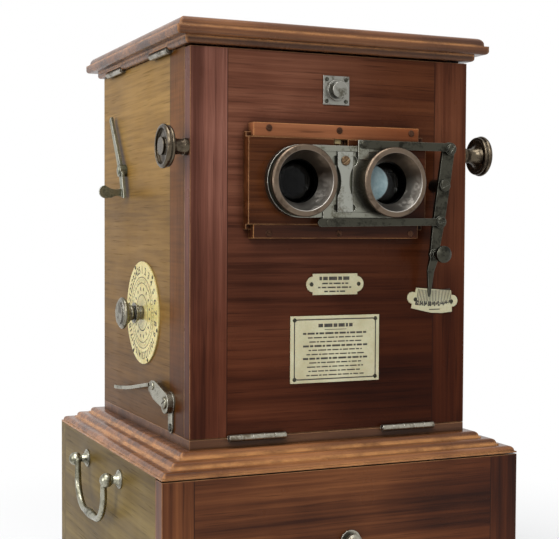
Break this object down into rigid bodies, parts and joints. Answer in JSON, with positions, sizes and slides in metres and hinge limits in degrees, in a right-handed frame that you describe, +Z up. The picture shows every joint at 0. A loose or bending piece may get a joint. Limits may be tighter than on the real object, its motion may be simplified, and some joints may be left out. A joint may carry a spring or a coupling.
{
  "type": "cabinet stereoscope",
  "caption": "Wooden magazine stereoscope for glass stereo slides, with hinged front and lid, paired eyecups, slide carriage and lift, on a storage base with a drop flap.",
  "frame": {"origin": "Middle of the underside of the storage base", "axes": "+Z up, -Y the front with the two eyecups, +X to the right seen from the front"},
  "size_m": [0.2806, 0.2538, 0.446],
  "materials": {
    "case_wood": "old oiled walnut with a faded finish",
    "front_wood": "reddish polished mahogany",
    "moulding_wood": "polished walnut moulding",
    "inner_wood": "plain unpolished wood",
    "worn_nickel": "worn nickel plate with brown patina",
    "dark_steel": "darkened steel with bright edges",
    "brass": "dull brass",
    "ivory": "aged ivory-coloured sheet",
    "lens_glass": "polished lens glass",
    "slide_glass": "glass photographic slide",
    "ground_glass": "ground window glass"
  },
  "bodies": {
    "cabinet": {"base_floor": "case_wood", "base_walls": "case_wood", "base_shelves": "inner_wood", "plinth_top": "moulding_wood", "handle_posts": "worn_nickel", "spare_magazines": "inner_wood", "cabinet_floor": "case_wood", "left_wall": "case_wood", "right_wall": "case_wood", "back_wall": "case_wood", "glass_bead": "inner_wood", "ground_glass": "ground_glass", "front_rail": "case_wood", "runners": "inner_wood", "slide_gate": "inner_wood", "viewed_slide": "slide_glass", "lift_guide": "brass", "dial_plate": "ivory", "release_bracket": "dark_steel", "fixed_hinges": "worn_nickel"},
    "flap": {"base_flap": "front_wood", "flap_fittings": "worn_nickel"},
    "lid": {"lid": "moulding_wood", "lid_hinge_leaves": "worn_nickel"},
    "door": {"door_panel": "front_wood", "door_hinge_leaves": "worn_nickel", "latch_plate": "worn_nickel", "lever_pivot": "dark_steel", "front_plates": "ivory"},
    "latch_button": {"latch_button": "worn_nickel"},
    "latch_hook": {"latch_hook": "dark_steel"},
    "optics": {"lens_board": "front_wood", "board_rails": "front_wood", "lens_frame": "worn_nickel", "centre_strap": "worn_nickel", "focus_rack": "brass"},
    "focus": {"focus_shaft": "dark_steel", "focus_knobs": "worn_nickel"},
    "left_eyepiece": {"left_lens_plate": "worn_nickel", "left_eyecup": "worn_nickel", "left_lens": "lens_glass", "left_link": "dark_steel"},
    "right_eyepiece": {"right_lens_plate": "worn_nickel", "right_eyecup": "worn_nickel", "right_lens": "lens_glass", "right_link": "dark_steel"},
    "spacing": {"spacing_lever": "dark_steel"},
    "dial": {"dial_shaft": "dark_steel", "dial_knob": "worn_nickel"},
    "carriage": {"carriage": "inner_wood", "magazine": "inner_wood", "glass_slides": "slide_glass"},
    "title": {"title_lever": "worn_nickel", "title_arm": "brass"},
    "release": {"release_lever": "worn_nickel"},
    "lift": {"lift_lever": "worn_nickel", "lift_shaft": "dark_steel"},
    "lifter": {"lifter": "brass"},
    "left_handle": {"left_bail": "worn_nickel"},
    "right_handle": {"right_bail": "worn_nickel"}
  },
  "joints": [
    {"name": "flap_hinge", "type": "hinge", "parent": "cabinet", "child": "flap", "pos_m": [0, -0.1251, 0.00815], "axis": [1, 0, 0], "range_deg": [0, 90]},
    {"name": "lid_hinge", "type": "hinge", "parent": "cabinet", "child": "lid", "pos_m": [-0.1025, 0, 0.43015], "axis": [0, -1, 0], "range_deg": [0, 95]},
    {"name": "door_hinge", "type": "hinge", "parent": "cabinet", "child": "door", "pos_m": [0, -0.0997, 0.18415], "axis": [1, 0, 0], "range_deg": [0, 90]},
    {"name": "latch_press", "type": "slide", "parent": "door", "child": "latch_button", "axis": [0, 1, 0], "range_m": [0, 0.0029], "stiffness_N_per_m": 250, "springref_m": -0.003},
    {"name": "latch_hook_turn", "type": "hinge", "parent": "door", "child": "latch_hook", "pos_m": [0, -0.0812, 0.39965], "axis": [1, 0, 0], "range_deg": [-25, 0]},
    {"name": "focus_travel", "type": "slide", "parent": "door", "child": "optics", "axis": [0, -1, 0], "range_m": [0, 0.00498]},
    {"name": "focus_turn", "type": "hinge", "parent": "door", "child": "focus", "pos_m": [0, -0.0916, 0.367], "axis": [1, 0, 0], "range_deg": [0, 59.6]},
    {"name": "left_eye_slide", "type": "slide", "parent": "optics", "child": "left_eyepiece", "axis": [-1, 0, 0], "range_m": [-0.0056, 0.0014]},
    {"name": "right_eye_slide", "type": "slide", "parent": "optics", "child": "right_eyepiece", "axis": [1, 0, 0], "range_m": [-0.0056, 0.0014]},
    {"name": "spacing_turn", "type": "hinge", "parent": "door", "child": "spacing", "pos_m": [0.075, -0.0972, 0.3455], "axis": [0, 1, 0], "range_deg": [-13.1, 3.2]},
    {"name": "dial_turn", "type": "hinge", "parent": "cabinet", "child": "dial", "pos_m": [-0.1, -0.0036, 0.258], "axis": [-1, 0, 0], "range_deg": [-172.9, 172.9]},
    {"name": "carriage_slide", "type": "slide", "parent": "cabinet", "child": "carriage", "axis": [0, 1, 0], "range_m": [-0.0372, 0.0372]},
    {"name": "title_turn", "type": "hinge", "parent": "cabinet", "child": "title", "pos_m": [-0.1, 0.0384, 0.358], "axis": [1, 0, 0], "range_deg": [0, 25], "stiffness_Nm_per_rad": 0.08, "springref_deg": -22.92},
    {"name": "release_turn", "type": "hinge", "parent": "cabinet", "child": "release", "pos_m": [-0.1, -0.0636, 0.2035], "axis": [-1, 0, 0], "range_deg": [0, 8], "stiffness_Nm_per_rad": 0.12, "springref_deg": -14.32},
    {"name": "lift_turn", "type": "hinge", "parent": "cabinet", "child": "lift", "pos_m": [0.1, 0.05178, 0.223], "axis": [-1, 0, 0], "range_deg": [0, 64.46]},
    {"name": "lifter_slide", "type": "slide", "parent": "cabinet", "child": "lifter", "axis": [0, 0, 1], "range_m": [0, 0.0641]},
    {"name": "left_handle_swing", "type": "hinge", "parent": "cabinet", "child": "left_handle", "pos_m": [-0.1356, 0.0048, 0.15], "axis": [0, 1, 0], "range_deg": [0, 170]},
    {"name": "right_handle_swing", "type": "hinge", "parent": "cabinet", "child": "right_handle", "pos_m": [0.1356, 0.0048, 0.15], "axis": [0, -1, 0], "range_deg": [0, 170]}
  ],
  "couplings": [
    {"joint": "latch_hook_turn", "follows": "latch_press", "rad_per_m": -146.8},
    {"joint": "focus_turn", "follows": "focus_travel", "rad_per_m": 208.33},
    {"joint": "right_eye_slide", "follows": "spacing_turn", "m_per_rad": 0.0244},
    {"joint": "left_eye_slide", "follows": "spacing_turn", "m_per_rad": 0.0244},
    {"joint": "dial_turn", "follows": "carriage_slide", "rad_per_m": 81.073},
    {"joint": "lifter_slide", "follows": "lift_turn", "m_per_rad": 0.056885}
  ]
}
